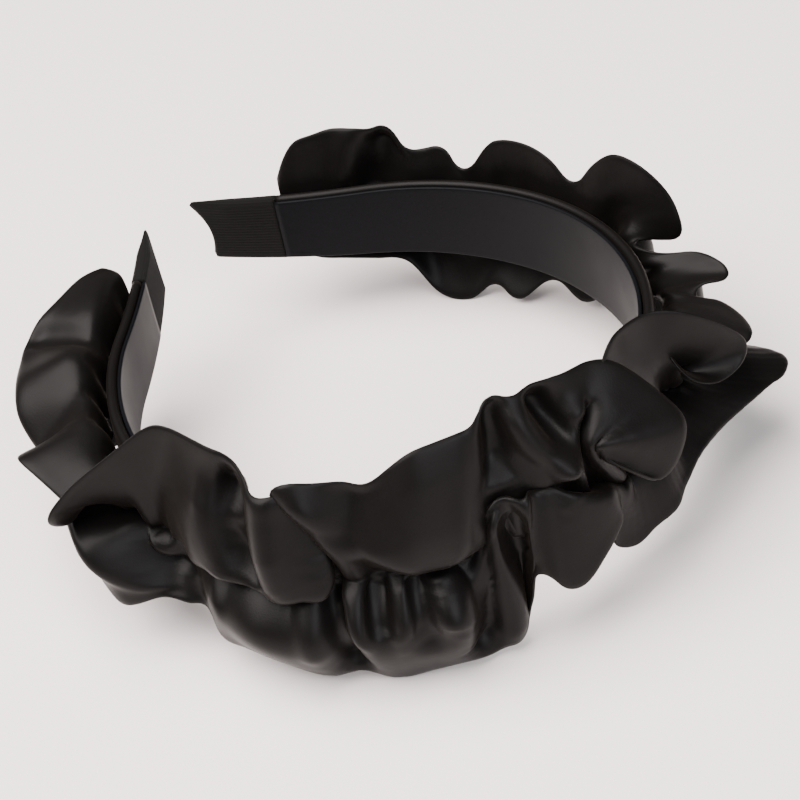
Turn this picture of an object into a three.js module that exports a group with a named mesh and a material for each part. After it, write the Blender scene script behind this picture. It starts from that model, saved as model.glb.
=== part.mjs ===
// Pleated headband: a springy hoop lined with satin, its ends in ribbed sleeves,
// with a double satin ruffle gathered along the middle of its outer face.
// Millimetres, +Z up. The hoop lies on its side, crown towards -Y, open end towards +Y.
import * as THREE from 'three';

// Plan of the hoop's inner face, from the crown to a tip: three arcs that run into each other
const CROWN_RADIUS = 64;
const CROWN_TURN = THREE.MathUtils.degToRad(105);
const ARM_RADIUS = 80;
const ARM_TURN = THREE.MathUtils.degToRad(32.5);
const TIP_FLARE_RADIUS = 262;
const TIP_FLARE_LENGTH = 45;
const CROWN_ARC = CROWN_RADIUS * CROWN_TURN;
const ARM_ARC = ARM_RADIUS * ARM_TURN;
const HALF_LENGTH = CROWN_ARC + ARM_ARC + TIP_FLARE_LENGTH;

// Hoop, lining and sleeves
const CROWN_WIDTH = 31;
const TIP_WIDTH = 17.8;
const LINING_THICKNESS = 1.0;
const PIECE_GAP = 0.3;
const BAND_THICKNESS = 3.0;
const BAND_INNER = LINING_THICKNESS + PIECE_GAP;
const BAND_OUTER = BAND_INNER + BAND_THICKNESS;
const NARROWING = 1.3;
const BAND_CORNER = 1.0;
const BAND_CROWNING = 0.5;
const CORE_CORNER = 0.3;
const LINING_SETBACK = 0.6;
const LINING_CORNER = 0.3;
const SLEEVE_LENGTH = 20.5;
const SLEEVE_WALL = 0.9;
const SLEEVE_INNER = 0.1;
const SLEEVE_OUTER = 4.1;
const SLEEVE_CORNER = 0.8;
const SLEEVE_START = HALF_LENGTH - SLEEVE_LENGTH;
const SWEEP_STEP = 5.1;

// Ruffle: a double strip stitched along its middle, so each flap is half as wide
const FLAP_WIDTH = 38;
const RUFFLE_WALL = 1.4;
const STITCH_OUT = BAND_OUTER + PIECE_GAP + RUFFLE_WALL / 2;
const RUFFLE_END = SLEEVE_START - 1;
const RUFFLE_COLUMNS = 150;
const FLAP_STEPS = 6;
const GATHER_PITCH = 10;
const GATHER_DEPTH = 1.1;
const GATHER_FADE = 6.75;
const SHORTEST_BOW = 30;
const LONGEST_BOW = 62;
const BOW_PER_SPAN = 2;
const BOW_PASSES = 16;
const HEM_PULL = 0.8;
const EDGE_ROOM = 0.5;
const LEAN_IN = 1.2;

// Folds of the upper flap, from the left tip round the crown to the right tip.
// Each row is one fold's crest or valley: where its thread line is along the hoop (mm from
// the crown), where its hem is along the hoop, outwards and above the middle (mm), and the
// angle at which the cloth leaves the stitches and reaches the hem (0 outwards, 90 up).
const FOLD_COLUMNS = { stitch: 0, hemAlong: 1, hemOut: 2, hemRise: 3, leave: 4, reach: 5 };
const UPPER_FOLDS = [
  [-187, -186, 7, 13, 80, 30],
  [-180, -178, 19, 13, 75, -20],
  [-171, -170, 27, 10, 75, -50],
  [-162, -160, 22, 15, 60, -10],
  [-154, -152, 27, 10, 80, -50],
  [-145, -143, 27, 9, 80, -50],
  [-138, -136, 19, 4, 45, -20],
  [-133, -130, 27, 9, 70, -40],
  [-126, -122, 31, 7, 60, -30],
  [-118, -114, 20, 2, 40, -40],
  [-112, -106, 31, 11, 10, 40],
  [-107, -104, 22, 21, 0, 80],
  [-102, -100, 5, 31, -20, 100],
  [-93, -91, 1, 32, -30, 100],
  [-84, -80, 0, 31, -35, 100],
  [-77, -71, 3, 28, -10, 100],
  [-68, -65, 12, 29, -30, 80],
  [-60, -57, 10, 29, -50, 90],
  [-52, -48, 10, 28, -20, 100],
  [-44, -39, 3, 29, -20, 100],
  [-34, -29, 1, 30, -15, 100],
  [-24, -20, 0, 31, 20, 100],
  [-17, -14, 1, 35, 0, 90],
  [-10, -8, 0, 33, 50, 100],
  [-2, 1, 1, 31, -10, 100],
  [6, 11, 4, 30, 0, 80],
  [12, 17, 17, 23, 0, 40],
  [17, 21, 22, 12, 20, -20],
  [21, 18, 17, 4, 40, -60],
  [25, 23, 9, 22, 70, 80],
  [31, 30, 6, 31, -10, 100],
  [37, 35, 13, 28, 0, 60],
  [44, 42, 22, 18, 10, 20],
  [49, 46, 26, 8, 20, -20],
  [54, 48, 20, 3, 40, -60],
  [58, 53, 24, 13, 60, -20],
  [63, 58, 20, 15, 70, 10],
  [68, 64, 22, 13, 70, 0],
  [73, 69, 15, 20, 80, 40],
  [79, 76, 12, 24, 80, 60],
  [86, 84, 18, 21, 70, 20],
  [94, 93, 20, 20, 80, 10],
  [102, 102, 17, 19, 80, 30],
  [109, 108, 9, 15, 70, 50],
  [116, 115, 8, 15, 70, 40],
  [123, 122, 8, 19, 90, 40],
  [131, 130, 8, 20, 100, 20],
  [139, 138, 8, 16, 90, 20],
  [146, 145, 7, 15, 80, 50],
  [153, 152, 8, 17, 90, 20],
  [161, 160, 8, 22, 95, 60],
  [170, 169, 10, 21, 95, 20],
  [179, 178, 8, 22, 95, 60],
  [187, 184, 6, 17, 90, 60],
];
// Folds of the lower flap in the same columns, with its rise and angles measured downwards
const LOWER_FOLDS = [
  [-187, -186, 7, 12, 80, 30],
  [-178, -176, 12, 15, 60, 30],
  [-168, -166, 8, 26, 80, 70],
  [-158, -156, 13, 22, 50, 60],
  [-148, -146, 8, 31, 80, 90],
  [-138, -136, 13, 24, 40, 60],
  [-128, -126, 10, 28, 80, 90],
  [-119, -116, 18, 18, 20, 40],
  [-111, -108, 21, 10, 40, 30],
  [-103, -101, 21, 15, 50, 50],
  [-95, -95, 14, 13, 70, 70],
  [-86, -86, 12, 16, 70, 80],
  [-78, -78, 10, 22, 65, 90],
  [-70, -69, 12, 24, 70, 90],
  [-62, -60, 12, 27, 80, 90],
  [-54, -53, 11, 27, 75, 80],
  [-46, -46, 10, 31, 60, 90],
  [-38, -38, 11, 29, 55, 90],
  [-30, -31, 12, 28, 55, 90],
  [-22, -26, 11, 27, 50, 100],
  [-15, -19, 9, 15, 60, 90],
  [-8, -11, 14, 22, 20, 120],
  [0, -3, 14, 18, 30, 110],
  [7, 5, 13, 16, 30, 90],
  [14, 13, 17, 15, 40, 60],
  [22, 22, 16, 9, 40, 40],
  [30, 31, 14, 14, 40, 60],
  [38, 40, 22, 9, 20, 20],
  [45, 47, 33, 4, 30, -20],
  [52, 53, 33, 4, 30, -10],
  [60, 60, 18, 20, 40, 80],
  [70, 70, 10, 31, 60, 90],
  [80, 80, 16, 20, 40, 60],
  [90, 90, 10, 26, 60, 90],
  [100, 100, 15, 21, 40, 60],
  [110, 110, 10, 27, 60, 90],
  [119, 119, 11, 23, 60, 60],
  [126, 127, 6, 29, 70, 90],
  [133, 134, 8, 26, 60, 90],
  [140, 141, 6, 31, 70, 100],
  [148, 149, 6, 29, 60, 90],
  [156, 156, 8, 19, 50, 60],
  [164, 164, 9, 18, 60, 70],
  [172, 172, 9, 17, 50, 70],
  [180, 180, 9, 16, 60, 60],
  [187, 185, 7, 12, 80, 60],
];

// Finishes
const SATIN = { color: 0x1b1613, roughness: 0.38, metalness: 0 };
const LINING_SATIN = { color: 0x15161a, roughness: 0.42, metalness: 0 };
const RIBBED_RIBBON = { color: 0x16130f, roughness: 0.85, metalness: 0 };

// The hoop's plan at a distance along its inner face: a point and the outward direction there
function hoopAt(along) {
  const distance = Math.abs(along);
  const side = along < 0 ? -1 : 1;
  const crown = Math.min(distance, CROWN_ARC) / CROWN_RADIUS;
  const arm = THREE.MathUtils.clamp(distance - CROWN_ARC, 0, ARM_ARC) / ARM_RADIUS;
  const flare = Math.max(distance - CROWN_ARC - ARM_ARC, 0) / TIP_FLARE_RADIUS;
  const bent = CROWN_TURN + arm;
  const turned = bent - flare;
  const x = CROWN_RADIUS * Math.sin(crown)
    + ARM_RADIUS * (Math.sin(bent) - Math.sin(CROWN_TURN))
    + TIP_FLARE_RADIUS * (Math.sin(bent) - Math.sin(turned));
  const y = -CROWN_RADIUS * Math.cos(crown)
    - ARM_RADIUS * (Math.cos(bent) - Math.cos(CROWN_TURN))
    + TIP_FLARE_RADIUS * (Math.cos(turned) - Math.cos(bent));
  const heading = crown + arm - flare;
  return {
    point: new THREE.Vector2(side * x, y),
    outward: new THREE.Vector2(side * Math.sin(heading), -Math.cos(heading)),
  };
}

// A point given along the hoop, outwards from its inner face and up from its middle
function place(along, out, rise) {
  const { point, outward } = hoopAt(along);
  return new THREE.Vector3(point.x + out * outward.x, point.y + out * outward.y, rise);
}

// Half of the hoop's width, which narrows from the crown to the tips
function halfWidthAt(along) {
  const way = Math.min(Math.abs(along) / HALF_LENGTH, 1);
  return THREE.MathUtils.lerp(CROWN_WIDTH, TIP_WIDTH, Math.pow(way, NARROWING)) / 2;
}

// A closed section: a flat strip with cut corners and a little crown on its outer face
function stripSection(inner, outer, halfWidth, corner, crowning) {
  const edge = outer - crowning;
  return [
    [edge, -halfWidth + corner],
    [outer, -halfWidth / 2],
    [outer, halfWidth / 2],
    [edge, halfWidth - corner],
    [edge - corner, halfWidth],
    [inner + corner, halfWidth],
    [inner, halfWidth - corner],
    [inner, -halfWidth + corner],
    [inner + corner, -halfWidth],
    [edge - corner, -halfWidth],
  ];
}

// A closed body from rings of equal length: walls between rings, and each end closed by
// strips between the ring's first half and its second half
function skin(rings) {
  const count = rings[0].length;
  const positions = rings.flat().flatMap((point) => point.toArray());
  const index = [];
  const addQuad = (a, b, c, d) => index.push(a, b, c, a, c, d);
  for (let ring = 0; ring + 1 < rings.length; ring += 1) {
    for (let i = 0; i < count; i += 1) {
      const next = (i + 1) % count;
      addQuad(ring * count + i, ring * count + next, (ring + 1) * count + next, (ring + 1) * count + i);
    }
  }
  const last = (rings.length - 1) * count;
  for (let i = 0; i + 1 < count / 2; i += 1) {
    const across = count - 1 - i;
    addQuad(i, across, across - 1, i + 1);
    addQuad(last + i, last + i + 1, last + across - 1, last + across);
  }
  const geometry = new THREE.BufferGeometry();
  geometry.setAttribute('position', new THREE.Float32BufferAttribute(positions, 3));
  geometry.setIndex(index);
  if (signedVolume(geometry) < 0) {
    index.reverse();
    geometry.setIndex(index);
  }
  geometry.computeVertexNormals();
  return geometry;
}

// Six times the enclosed volume, negative where the faces point inwards
function signedVolume(geometry) {
  const position = geometry.getAttribute('position');
  const index = geometry.getIndex();
  const a = new THREE.Vector3();
  const b = new THREE.Vector3();
  const c = new THREE.Vector3();
  let sum = 0;
  for (let i = 0; i < index.count; i += 3) {
    a.fromBufferAttribute(position, index.getX(i));
    b.fromBufferAttribute(position, index.getX(i + 1));
    c.fromBufferAttribute(position, index.getX(i + 2));
    sum += a.dot(b.cross(c));
  }
  return sum;
}

// Places along the hoop at even steps, both ends included
function stations(from, to, step) {
  const spans = Math.max(Math.round((to - from) / step), 1);
  return Array.from({ length: spans + 1 }, (_, i) => THREE.MathUtils.lerp(from, to, i / spans));
}

// A section carried along the hoop
function sweep(places, sectionAt) {
  return places.map((along) => sectionAt(along).map(([out, rise]) => place(along, out, rise)));
}

// Hoop: full section between the sleeves, thin core inside them
function bandGeometry() {
  const full = (along) => stripSection(
    BAND_INNER, BAND_OUTER, halfWidthAt(along), BAND_CORNER, BAND_CROWNING,
  );
  const coreInset = SLEEVE_WALL + PIECE_GAP;
  const core = (along) => stripSection(
    SLEEVE_INNER + coreInset, SLEEVE_OUTER - coreInset, halfWidthAt(along) - coreInset, CORE_CORNER, 0,
  );
  const shoulder = SLEEVE_START - PIECE_GAP;
  const coreEnd = HALF_LENGTH - SLEEVE_WALL - PIECE_GAP;
  return skin([
    ...sweep(stations(-coreEnd, -shoulder, SWEEP_STEP), core),
    ...sweep(stations(-shoulder, shoulder, SWEEP_STEP), full),
    ...sweep(stations(shoulder, coreEnd, SWEEP_STEP), core),
  ]);
}

// Lining: a flat satin strip on the hoop's inner face, up to the sleeves
function liningGeometry() {
  const end = SLEEVE_START - PIECE_GAP;
  const section = (along) => stripSection(
    0, LINING_THICKNESS, halfWidthAt(along) - LINING_SETBACK, LINING_CORNER, 0,
  );
  return skin(sweep(stations(-end, end, SWEEP_STEP), section));
}

// Sleeve: a sock of ribbed ribbon pulled over one end of the hoop, closed at the tip
function sleeveGeometry(side) {
  const outside = (along) => stripSection(
    SLEEVE_INNER, SLEEVE_OUTER, halfWidthAt(along), SLEEVE_CORNER, 0,
  );
  const inside = (along) => stripSection(
    SLEEVE_INNER + SLEEVE_WALL, SLEEVE_OUTER - SLEEVE_WALL, halfWidthAt(along) - SLEEVE_WALL, CORE_CORNER, 0,
  );
  const pocketEnd = HALF_LENGTH - SLEEVE_WALL;
  const pocket = stations(side * pocketEnd, side * SLEEVE_START, SWEEP_STEP);
  const shell = stations(side * SLEEVE_START, side * HALF_LENGTH, SWEEP_STEP);
  const rings = [...sweep(pocket, inside), ...sweep(shell, outside)];
  return skin(rings);
}

// The folds' table read at a place along the stitches, eased from row to row
function foldAt(folds, stitch) {
  const last = folds.length - 1;
  let row = 0;
  while (row < last - 1 && folds[row + 1][FOLD_COLUMNS.stitch] < stitch) {
    row += 1;
  }
  const start = folds[row][FOLD_COLUMNS.stitch];
  const span = folds[row + 1][FOLD_COLUMNS.stitch] - start;
  const way = THREE.MathUtils.clamp((stitch - start) / span, 0, 1);
  const rowAt = (i) => folds[THREE.MathUtils.clamp(i, 0, last)];
  const read = (column) => {
    const [before, here, next, after] = [-1, 0, 1, 2].map((step) => rowAt(row + step)[column]);
    const pull = before * -0.5 + next * 0.5;
    const push = here * -0.5 + after * 0.5;
    return hermite(here, pull, next, push, way);
  };
  return {
    hem: new THREE.Vector3(read(FOLD_COLUMNS.hemAlong), read(FOLD_COLUMNS.hemOut), read(FOLD_COLUMNS.hemRise)),
    leave: THREE.MathUtils.degToRad(read(FOLD_COLUMNS.leave)),
    reach: THREE.MathUtils.degToRad(read(FOLD_COLUMNS.reach)),
  };
}

// The cubic that goes from one value and slope to another
function hermite(start, startSlope, end, endSlope, way) {
  const square = way * way;
  const cube = square * way;
  return start * (2 * cube - 3 * square + 1) + startSlope * (cube - 2 * square + way)
    + end * (3 * square - 2 * cube) + endSlope * (cube - square);
}

// One rib of cloth from the stitches to the hem: a cubic that bows until it is a flap long
function ribPoints(folds, stitch) {
  const { hem, leave, reach } = foldAt(folds, stitch);
  const root = new THREE.Vector3(stitch, STITCH_OUT, 0);
  const pointAt = (bow, way) => new THREE.Vector3(
    hermite(root.x, 0, hem.x, 0, way),
    hermite(root.y, bow * Math.cos(leave), hem.y, bow * HEM_PULL * Math.cos(reach), way),
    hermite(root.z, bow * Math.sin(leave), hem.z, bow * HEM_PULL * Math.sin(reach), way),
  );
  const ribAt = (bow) => Array.from({ length: FLAP_STEPS + 1 }, (_, i) => pointAt(bow, i / FLAP_STEPS));
  const lengthOf = (points) => points.slice(1).reduce((sum, point, i) => sum + point.distanceTo(points[i]), 0);
  let low = 0;
  let high = THREE.MathUtils.clamp(root.distanceTo(hem) * BOW_PER_SPAN, SHORTEST_BOW, LONGEST_BOW);
  for (let pass = 0; pass < BOW_PASSES; pass += 1) {
    const middle = (low + high) / 2;
    if (lengthOf(ribAt(middle)) < FLAP_WIDTH) {
      low = middle;
    } else {
      high = middle;
    }
  }
  return gathered(ribAt(high), stitch, leave);
}

// Gathers: small waves beside the stitches that fade towards the hem, kept clear of the hoop
function gathered(points, stitch, leave) {
  const phase = (2 * Math.PI * stitch) / GATHER_PITCH;
  return points.map((point, i) => {
    const way = i / FLAP_STEPS;
    const wave = GATHER_DEPTH * Math.sin(phase) * GATHER_FADE * way * (1 - way) ** 2;
    const out = point.y - wave * Math.sin(leave);
    const rise = point.z + wave * Math.cos(leave);
    const beyond = Math.max(Math.abs(rise) - halfWidthAt(point.x) - EDGE_ROOM, 0);
    return new THREE.Vector3(point.x, Math.max(out, STITCH_OUT - LEAN_IN * beyond), rise);
  });
}

// Ruffle: ribs of both flaps side by side, given a wall by moving them both ways along the
// cloth's own normal
function ruffleGeometry() {
  const columns = stations(-RUFFLE_END, RUFFLE_END, (2 * RUFFLE_END) / RUFFLE_COLUMNS);
  const cloth = columns.map((stitch) => {
    const upper = ribPoints(UPPER_FOLDS, stitch);
    const lower = ribPoints(LOWER_FOLDS, stitch).slice(1).reverse();
    const mirrored = lower.map((point) => new THREE.Vector3(point.x, point.y, -point.z));
    return [...mirrored, ...upper].map((point) => place(point.x, point.y, point.z));
  });
  const normals = clothNormals(cloth);
  const rings = cloth.map((rib, column) => {
    const face = (side) => rib.map((point, i) => (
      point.clone().addScaledVector(normals[column][i], (side * RUFFLE_WALL) / 2)
    ));
    return [...face(1), ...face(-1).reverse()];
  });
  return skin(rings);
}

// The normal at each point of a grid of points, from its neighbours on both sides
function clothNormals(grid) {
  const pick = (list, i) => list[THREE.MathUtils.clamp(i, 0, list.length - 1)];
  return grid.map((rib, column) => rib.map((_, i) => {
    const across = pick(rib, i + 1).clone().sub(pick(rib, i - 1));
    const along = pick(grid, column + 1)[i].clone().sub(pick(grid, column - 1)[i]);
    return along.cross(across).normalize();
  }));
}

// A named piece with a finish of its own
function addPiece(parent, name, geometry, finish) {
  const mesh = new THREE.Mesh(geometry, new THREE.MeshStandardMaterial(finish));
  mesh.name = name;
  parent.add(mesh);
}

// The headband stands on its lowest hems, with its origin under the middle of its box
function build() {
  const group = new THREE.Group();
  addPiece(group, 'band', bandGeometry(), SATIN);
  addPiece(group, 'lining', liningGeometry(), LINING_SATIN);
  addPiece(group, 'tip_wrap_left', sleeveGeometry(-1), RIBBED_RIBBON);
  addPiece(group, 'tip_wrap_right', sleeveGeometry(1), RIBBED_RIBBON);
  addPiece(group, 'ruffle', ruffleGeometry(), SATIN);
  const box = new THREE.Box3().setFromObject(group, true);
  const middle = box.getCenter(new THREE.Vector3());
  group.position.set(-middle.x, -middle.y, -box.min.z);
  return group;
}

const group = build();

export default group;
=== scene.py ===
"""Pleated headband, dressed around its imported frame.

A springy hoop covered in black satin lies on its side. A satin lining runs along its inner
face, its two ends are pulled into ribbed ribbon sleeves, and a double satin strip is gathered
along the middle of its outer face, so that both its edges stand out as a ruffle.

Lengths are in millimetres until a mesh is made. Three coordinates follow the hoop: along
(from the crown, the left arm negative), out (from the inner face) and rise (from its middle).
"""
import logging
import math
from dataclasses import dataclass
from enum import Enum, IntEnum

import bpy
import numpy as np
from mathutils import Matrix, Vector


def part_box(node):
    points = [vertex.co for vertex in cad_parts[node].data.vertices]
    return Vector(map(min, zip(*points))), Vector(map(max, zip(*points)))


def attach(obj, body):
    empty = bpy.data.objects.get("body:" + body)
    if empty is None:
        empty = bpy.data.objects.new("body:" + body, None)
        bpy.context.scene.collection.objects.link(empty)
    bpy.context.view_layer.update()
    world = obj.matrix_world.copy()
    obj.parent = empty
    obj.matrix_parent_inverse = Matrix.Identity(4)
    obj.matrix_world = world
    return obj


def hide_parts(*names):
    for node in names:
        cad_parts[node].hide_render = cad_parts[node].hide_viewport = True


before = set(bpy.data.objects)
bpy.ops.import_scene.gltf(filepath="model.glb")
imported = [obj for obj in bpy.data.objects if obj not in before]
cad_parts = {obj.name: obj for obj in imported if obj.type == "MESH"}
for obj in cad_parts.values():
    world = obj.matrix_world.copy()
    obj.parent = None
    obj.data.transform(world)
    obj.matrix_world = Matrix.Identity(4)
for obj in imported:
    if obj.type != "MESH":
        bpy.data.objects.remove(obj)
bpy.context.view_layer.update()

LOG = logging.getLogger("headband")
METRE = 0.001
# The outer face of the CAD's band, and the length of the facets that its crown arc is cut into
BAND_OUTER = 4.3
CAD_FACET = 5.12


class Side(IntEnum):
    """Which arm of the hoop, as the sign of its distances from the crown."""

    LEFT = -1
    RIGHT = 1


class Flap(Enum):
    """Which free edge of the ruffle, as the sign of its rise."""

    UPPER = 1
    LOWER = -1


def linear(shade: str) -> tuple[float, float, float, float]:
    """Turns an sRGB hex shade into linear light: c / 12.92 below 0.04045, else
    ((c + 0.055) / 1.055) to the power 2.4.

    Args:
        shade: Six hex digits after a hash.

    Returns:
        Linear red, green and blue, and 1 for alpha.
    """
    parts = [int(shade[i:i + 2], 16) / 255 for i in (1, 3, 5)]
    red, green, blue = (c / 12.92 if c <= 0.04045 else ((c + 0.055) / 1.055) ** 2.4 for c in parts)
    return (red, green, blue, 1.0)


def smooth(value: np.ndarray) -> np.ndarray:
    """Eases 0 to 1 by 3 v squared less 2 v cubed, clamped at both ends."""
    held = np.clip(value, 0.0, 1.0)
    return held * held * (3.0 - 2.0 * held)


def unit(vectors: np.ndarray) -> np.ndarray:
    """Divides each vector along the last axis by its length."""
    return vectors / np.maximum(np.linalg.norm(vectors, axis=-1, keepdims=True), 1e-9)


def hermite(start: np.ndarray, leave: np.ndarray, end: np.ndarray, reach: np.ndarray,
            way: np.ndarray) -> np.ndarray:
    """The cubic between two values with given slopes: start (2w3 - 3w2 + 1) + leave (w3 - 2w2 + w)
    + end (3w2 - 2w3) + reach (w3 - w2).

    Args:
        start: Value at way 0.
        leave: Slope at way 0.
        end: Value at way 1.
        reach: Slope at way 1.
        way: From 0 to 1.

    Returns:
        The values at each way.
    """
    square, cube = way * way, way ** 3
    return (start * (2 * cube - 3 * square + 1) + leave * (cube - 2 * square + way)
            + end * (3 * square - 2 * cube) + reach * (cube - square))


def between_rows(rows: np.ndarray, spot: np.ndarray) -> np.ndarray:
    """Reads rows at places between them: the cubic whose slope at a row is half the difference
    of its neighbours.

    Args:
        rows: Values, a row for each place.
        spot: Row numbers, whole or not.

    Returns:
        The values at each spot.
    """
    last = len(rows) - 1
    low = np.clip(np.floor(spot).astype(int), 0, last - 1)
    before, here, after, beyond = (rows[np.clip(low + k, 0, last)] for k in (-1, 0, 1, 2))
    way = (spot - low).reshape(-1, *[1] * (rows.ndim - 1))
    return hermite(here, (after - before) / 2, after, (beyond - here) / 2, way)


@dataclass(frozen=True)
class HoopPlan:
    """The curve of the hoop's inner face, with a crown arc, an arm arc and a flared tip on each
    side, and the room that the ruffle's cloth keeps from the hoop."""

    centre: tuple[float, float, float]
    crown_radius: float = 64.0
    crown_turn: float = math.radians(105.0)
    arm_radius: float = 80.0
    arm_turn: float = math.radians(32.5)
    flare_radius: float = 262.0
    flare_length: float = 45.0
    crown_width: float = 31.0
    tip_width: float = 17.8
    narrowing: float = 1.3
    cloth_out: float = 4.95
    edge_room: float = 0.5
    lean_in: float = 1.2

    @property
    def crown_arc(self) -> float:
        """Length of the crown arc from the crown to one side."""
        return self.crown_radius * self.crown_turn

    @property
    def arm_arc(self) -> float:
        """Length of one arm arc."""
        return self.arm_radius * self.arm_turn

    @property
    def half_length(self) -> float:
        """Length from the crown to one tip."""
        return self.crown_arc + self.arm_arc + self.flare_length

    def at(self, along: np.ndarray) -> tuple[np.ndarray, np.ndarray]:
        """The plan point and the outward direction. Each arc adds radius times the difference
        of sines and cosines between its two headings.

        Args:
            along: Distances from the crown.

        Returns:
            Points and unit outward directions, each with x and y along the last axis.
        """
        distance, side = np.abs(along), np.where(along < 0, -1.0, 1.0)
        crown = np.minimum(distance, self.crown_arc) / self.crown_radius
        arm = np.clip(distance - self.crown_arc, 0, self.arm_arc) / self.arm_radius
        flare = np.maximum(distance - self.crown_arc - self.arm_arc, 0) / self.flare_radius
        bent = self.crown_turn + arm
        turned = bent - flare
        x = (self.crown_radius * np.sin(crown)
             + self.arm_radius * (np.sin(bent) - math.sin(self.crown_turn))
             + self.flare_radius * (np.sin(bent) - np.sin(turned)))
        y = (-self.crown_radius * np.cos(crown)
             - self.arm_radius * (np.cos(bent) - math.cos(self.crown_turn))
             + self.flare_radius * (np.cos(turned) - np.cos(bent)))
        heading = crown + arm - flare
        return np.stack([side * x, y], -1), np.stack([side * np.sin(heading), -np.cos(heading)], -1)

    def place(self, along: np.ndarray, out: np.ndarray, rise: np.ndarray) -> np.ndarray:
        """A point of the frame: the plan point plus out times the outward direction, and rise.

        Args:
            along: Distances from the crown.
            out: Distances outwards from the inner face.
            rise: Heights above the hoop's middle.

        Returns:
            Points in millimetres in the frame, x, y and z along the last axis.
        """
        along, out, rise = np.broadcast_arrays(*(np.asarray(a, float) for a in (along, out, rise)))
        point, outward = self.at(along)
        plan = point + out[..., None] * outward
        return np.concatenate([plan, rise[..., None]], -1) + np.array(self.centre)

    def half_width(self, along: np.ndarray) -> np.ndarray:
        """Half of the hoop's width: crown width to tip width by (distance / half length) ** 1.3."""
        way = np.clip(np.abs(along) / self.half_length, 0, 1) ** self.narrowing
        return (self.crown_width + (self.tip_width - self.crown_width) * way) / 2

    def follow(self, points: np.ndarray,
               along: np.ndarray) -> tuple[np.ndarray, np.ndarray, np.ndarray]:
        """The hoop coordinates of points, from a near guess: along moves by the point's offset
        times the tangent, less what the curve's bend takes.

        Args:
            points: Points in the frame.
            along: A guess for each, within a few millimetres.

        Returns:
            along, out and rise.
        """
        flat = points - np.array(self.centre)
        plan, outward = self.at(along)
        offset = flat[..., :2] - plan
        tangent = np.stack([-outward[..., 1], outward[..., 0]], -1)
        out = np.sum(offset * outward, -1)
        bend = self.crown_radius / np.maximum(self.crown_radius + out, self.crown_radius / 2)
        return along + np.sum(offset * tangent, -1) * bend, out, flat[..., 2]

    def least_out(self, along: np.ndarray, rise: np.ndarray) -> np.ndarray:
        """How far out cloth has to stay: clear of the hoop's face, and past its edge less by
        lean_in for each millimetre, so that a flap may lean over the edge.

        Args:
            along: Distances from the crown.
            rise: Heights above the hoop's middle.

        Returns:
            Distances outwards from the inner face.
        """
        beyond = np.maximum(np.abs(rise) - self.half_width(along) - self.edge_room, 0)
        return self.cloth_out - self.lean_in * beyond


def mesh_object(name: str, points: np.ndarray, faces: list[list[int]],
                material: bpy.types.Material) -> bpy.types.Object:
    """Makes an object at the origin, all smooth.

    Args:
        name: The object's name.
        points: Points in millimetres, one a row.
        faces: The point numbers of each face.
        material: Its finish.

    Returns:
        The object.
    """
    mesh = bpy.data.meshes.new(name)
    mesh.from_pydata((points * METRE).tolist(), [], faces)
    mesh.materials.append(material)
    mesh.polygons.foreach_set("use_smooth", np.ones(len(mesh.polygons), bool))
    mesh.update()
    piece = bpy.data.objects.new(name, mesh)
    bpy.context.scene.collection.objects.link(piece)
    return piece


def tube_faces(rings: int, count: int, closed: bool = True) -> np.ndarray:
    """Quads between neighbouring rings, and ladders of quads that close both end rings.

    Args:
        rings: How many rings.
        count: Points a ring, an even number.
        closed: Whether the ends are closed.

    Returns:
        Four point numbers a row.
    """
    ring, i = np.meshgrid(np.arange(rings - 1), np.arange(count), indexing="ij")
    after = (i + 1) % count
    walls = np.stack([ring * count + i, ring * count + after,
                      (ring + 1) * count + after, (ring + 1) * count + i], -1).reshape(-1, 4)
    if not closed:
        return walls
    i = np.arange(count // 2 - 1)
    across = count - 1 - i
    last = (rings - 1) * count
    start = np.stack([i, across, across - 1, i + 1], -1)
    end = last + np.stack([i, i + 1, across - 1, across], -1)
    return np.concatenate([walls, start, end])


def outward_faces(points: np.ndarray, quads: np.ndarray,
                  triangles: np.ndarray = np.empty((0, 3), int)) -> list[list[int]]:
    """Turns all faces round when the volume that the quads enclose, the sum of a . (b x c), is
    negative.

    Args:
        points: Points, one a row.
        quads: Four point numbers a row.
        triangles: Three point numbers a row, wound as the quads are.

    Returns:
        Quads, then triangles, facing outwards.
    """
    a, b, c, d = (points[quads[:, k]] for k in range(4))
    volume = np.sum(a * np.cross(b, c)) + np.sum(a * np.cross(c, d))
    way = 1 if volume > 0 else -1
    return quads[:, ::way].tolist() + triangles[:, ::way].tolist()


def add_node(tree: bpy.types.NodeTree, kind: str,
             links: dict[str | int, bpy.types.NodeSocket] | None = None,
             values: dict[str | int, object] | None = None, **settings: object) -> bpy.types.Node:
    """Adds a node with its settings, socket values and links.

    Args:
        tree: The node tree.
        kind: The node's type name.
        links: Input sockets, by name or number, and what feeds them.
        values: Input sockets and their values.
        **settings: The node's own properties.

    Returns:
        The node.
    """
    node = tree.nodes.new(kind)
    for key, value in settings.items():
        setattr(node, key, value)
    for key, value in (values or {}).items():
        node.inputs[key].default_value = value
    for key, source in (links or {}).items():
        tree.links.new(source, node.inputs[key])
    return node


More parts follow.
